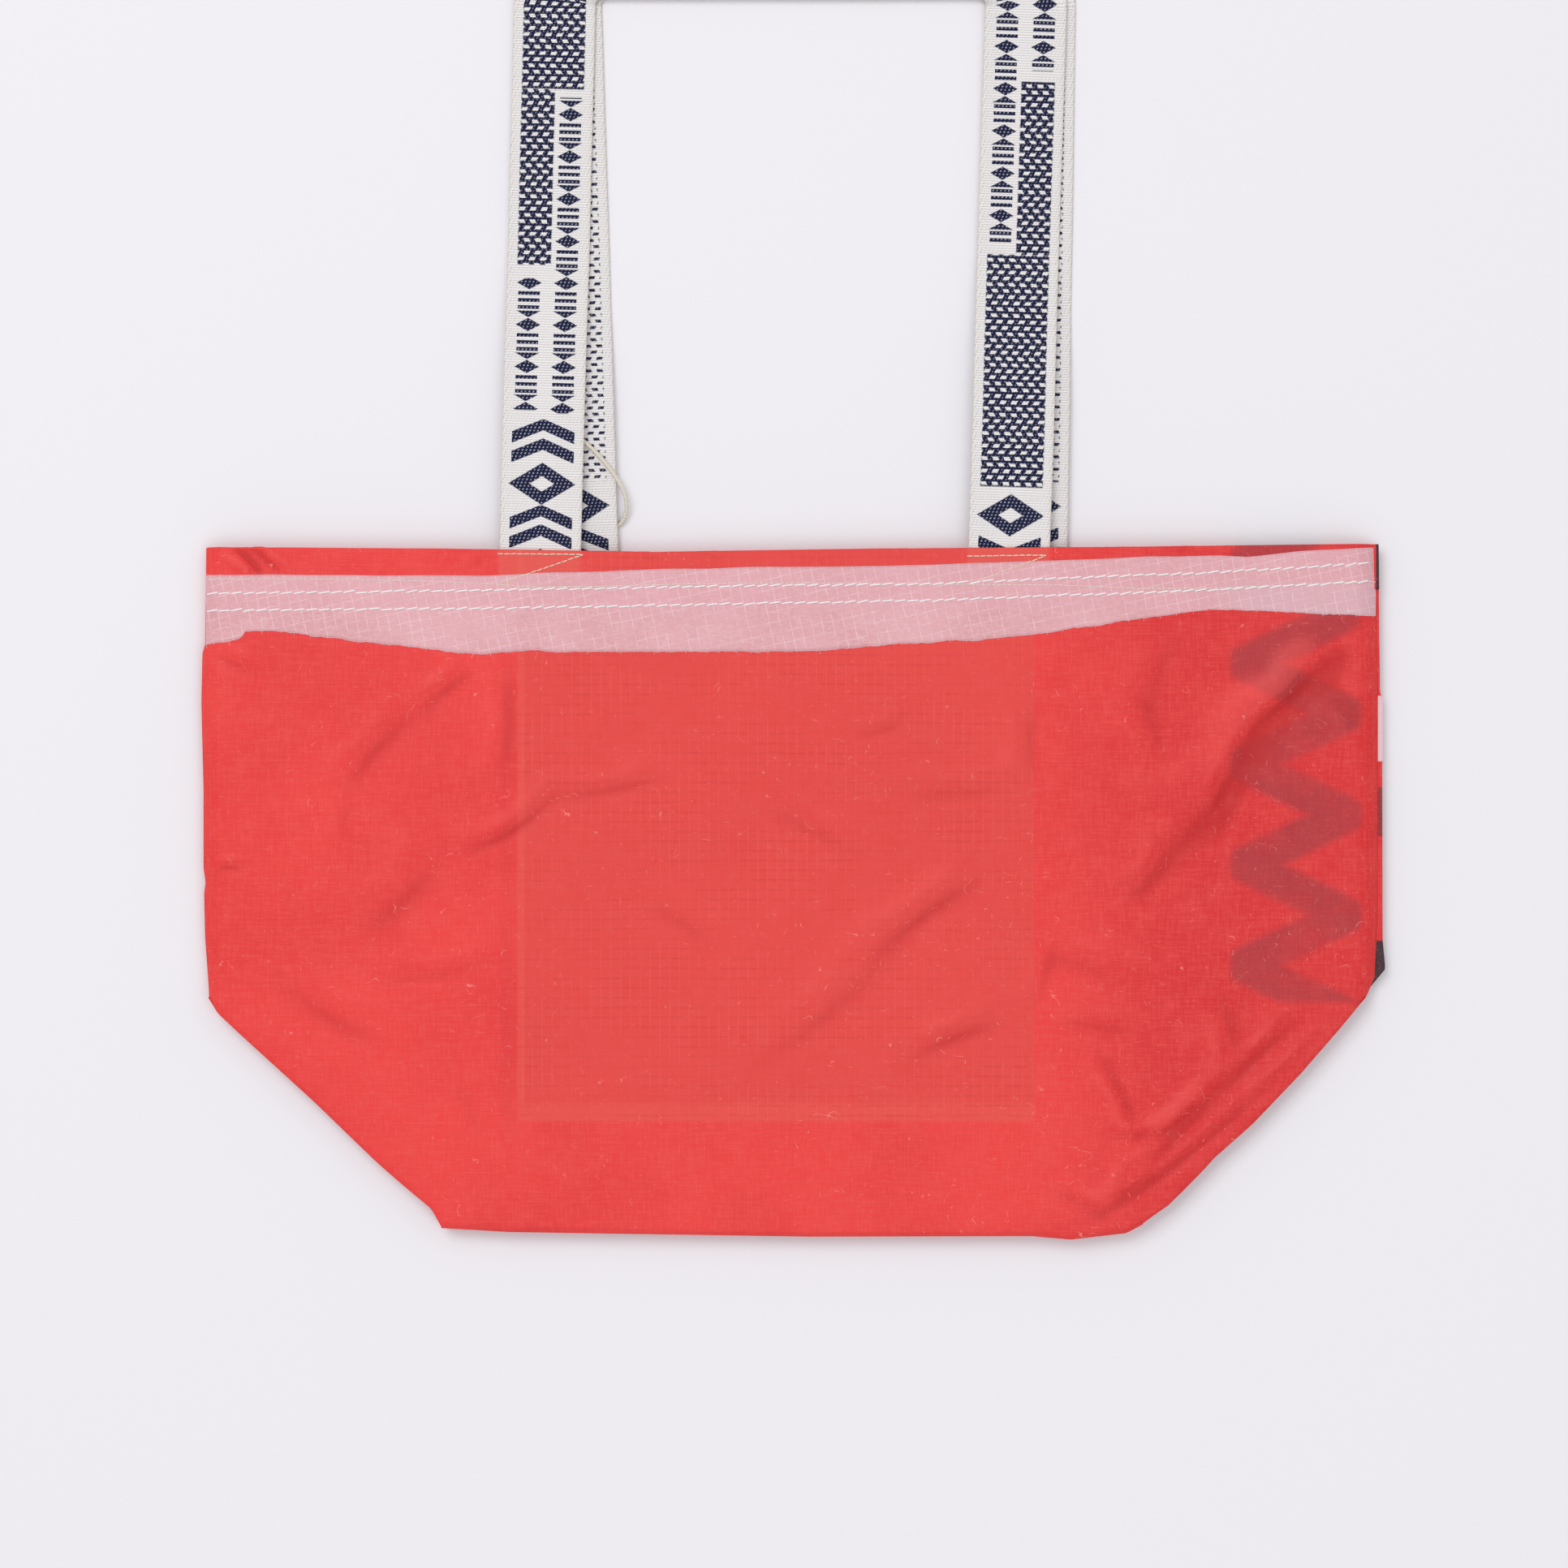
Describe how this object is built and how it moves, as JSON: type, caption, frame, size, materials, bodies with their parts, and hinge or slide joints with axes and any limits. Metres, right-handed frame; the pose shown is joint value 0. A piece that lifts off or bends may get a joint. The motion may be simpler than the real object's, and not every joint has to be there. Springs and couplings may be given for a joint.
{
  "type": "foldable tote bag",
  "caption": "Flat-folding cloth tote with a boxed base, turned hem, pale band across the front, inner pocket and two looped tape handles.",
  "frame": {"origin": "on the back panel's outer face, at the middle of the body's width and height", "axes": "+X across the bag, +Y up the bag towards the handles, +Z out of the table through the front panel"},
  "size_m": [0.4334, 0.4848, 0.0094],
  "materials": {
    "red_ripstop": "thin red ripstop cloth with a fine woven grid",
    "pale_ripstop": "thin pale see-through ripstop over the red",
    "pocket_cloth": "thin pale ripstop cloth",
    "handle_tape": "ribbed woven tape, cream with a navy pattern",
    "white_thread": "white sewing thread",
    "cream_thread": "cream sewing thread",
    "tag_cord": "twisted cream cotton cord"
  },
  "bodies": {
    "back": {"back_panel": "red_ripstop", "back_hem": "red_ripstop", "back_hem_stitching": "cream_thread", "rear_handle_ends": "handle_tape", "rear_handle_stitching": "cream_thread"},
    "base_rear": {"base_rear_panel": "red_ripstop"},
    "base_front": {"base_front_panel": "red_ripstop"},
    "front": {"front_panel": "red_ripstop", "front_hem": "red_ripstop", "front_hem_stitching": "cream_thread", "front_band": "pale_ripstop", "front_band_stitching": "white_thread", "front_handle_ends": "handle_tape", "front_handle_stitching": "cream_thread", "pocket_inner_layer": "pocket_cloth", "pocket_outer_layer": "pocket_cloth"},
    "front_handle": {"front_handle": "handle_tape"},
    "rear_handle": {"rear_handle": "handle_tape", "tag_cord": "tag_cord", "tag_cord_knot": "tag_cord"},
    "back_left_side": {"back_left_side": "red_ripstop", "back_left_hem": "red_ripstop", "back_left_hem_stitching": "cream_thread", "left_side_seam": "red_ripstop"},
    "back_left_tuck": {"back_left_tuck": "red_ripstop"},
    "back_right_side": {"back_right_side": "red_ripstop", "back_right_hem": "red_ripstop", "back_right_hem_stitching": "cream_thread", "right_side_seam": "red_ripstop"},
    "back_right_tuck": {"back_right_tuck": "red_ripstop"},
    "front_left_side": {"front_left_side": "red_ripstop", "front_left_hem": "red_ripstop", "front_left_hem_stitching": "cream_thread", "front_left_band": "pale_ripstop", "front_left_band_stitching": "white_thread"},
    "front_left_tuck": {"front_left_tuck": "red_ripstop"},
    "front_right_side": {"front_right_side": "red_ripstop", "front_right_hem": "red_ripstop", "front_right_hem_stitching": "cream_thread", "front_right_band": "pale_ripstop", "front_right_band_stitching": "white_thread"},
    "front_right_tuck": {"front_right_tuck": "red_ripstop"}
  },
  "joints": [
    {"name": "base_unfold", "type": "hinge", "parent": "back", "child": "base_rear", "pos_m": [0, -0.125, 0.001], "axis": [1, 0, 0], "range_deg": [0, 90]},
    {"name": "base_crease", "type": "hinge", "parent": "base_rear", "child": "base_front", "pos_m": [0, -0.038, 0.0043], "axis": [-1, 0, 0], "range_deg": [0, 180]},
    {"name": "front_fold", "type": "hinge", "parent": "base_front", "child": "front", "pos_m": [0, -0.125, 0.0076], "axis": [1, 0, 0], "range_deg": [0, 90]},
    {"name": "back_left_side_fold", "type": "hinge", "parent": "back", "child": "back_left_side", "pos_m": [-0.13, 0, 0.001], "axis": [0, 1, 0], "range_deg": [0, 90]},
    {"name": "back_left_tuck_fold", "type": "hinge", "parent": "back_left_side", "child": "back_left_tuck", "pos_m": [-0.1735, -0.0815, 0.00095], "axis": [0.7071, -0.7071, 0], "range_deg": [0, 180], "deforming": ["back_left_tuck"]},
    {"name": "back_right_side_fold", "type": "hinge", "parent": "back", "child": "back_right_side", "pos_m": [0.13, 0, 0.001], "axis": [0, -1, 0], "range_deg": [0, 90]},
    {"name": "back_right_tuck_fold", "type": "hinge", "parent": "back_right_side", "child": "back_right_tuck", "pos_m": [0.1735, -0.0815, 0.00095], "axis": [0.7071, 0.7071, 0], "range_deg": [0, 180], "deforming": ["back_right_tuck"]},
    {"name": "front_left_side_fold", "type": "hinge", "parent": "front", "child": "front_left_side", "pos_m": [-0.13, 0, 0.0076], "axis": [0, -1, 0], "range_deg": [0, 90]},
    {"name": "front_left_tuck_fold", "type": "hinge", "parent": "front_left_side", "child": "front_left_tuck", "pos_m": [-0.1735, -0.0815, 0.00765], "axis": [-0.7071, 0.7071, 0], "range_deg": [0, 180], "deforming": ["front_left_tuck"]},
    {"name": "front_right_side_fold", "type": "hinge", "parent": "front", "child": "front_right_side", "pos_m": [0.13, 0, 0.0076], "axis": [0, 1, 0], "range_deg": [0, 90]},
    {"name": "front_right_tuck_fold", "type": "hinge", "parent": "front_right_side", "child": "front_right_tuck", "pos_m": [0.1735, -0.0815, 0.00765], "axis": [-0.7071, -0.7071, 0], "range_deg": [0, 180], "deforming": ["front_right_tuck"]},
    {"name": "front_handle_swing", "type": "hinge", "parent": "front", "child": "front_handle", "pos_m": [0, 0.1265, 0.0082], "axis": [1, 0, 0], "range_deg": [0, 170]},
    {"name": "rear_handle_swing", "type": "hinge", "parent": "back", "child": "rear_handle", "pos_m": [0, 0.1265, 0.0004], "axis": [-1, 0, 0], "range_deg": [0, 170]}
  ],
  "couplings": [
    {"joint": "base_crease", "follows": "base_unfold", "ratio": 2},
    {"joint": "front_fold", "follows": "base_unfold", "ratio": 1},
    {"joint": "back_left_side_fold", "follows": "base_unfold", "ratio": 1},
    {"joint": "back_left_tuck_fold", "follows": "base_unfold", "ratio": 2},
    {"joint": "back_right_side_fold", "follows": "base_unfold", "ratio": 1},
    {"joint": "back_right_tuck_fold", "follows": "base_unfold", "ratio": 2},
    {"joint": "front_left_side_fold", "follows": "base_unfold", "ratio": 1},
    {"joint": "front_left_tuck_fold", "follows": "base_unfold", "ratio": 2},
    {"joint": "front_right_side_fold", "follows": "base_unfold", "ratio": 1},
    {"joint": "front_right_tuck_fold", "follows": "base_unfold", "ratio": 2}
  ]
}
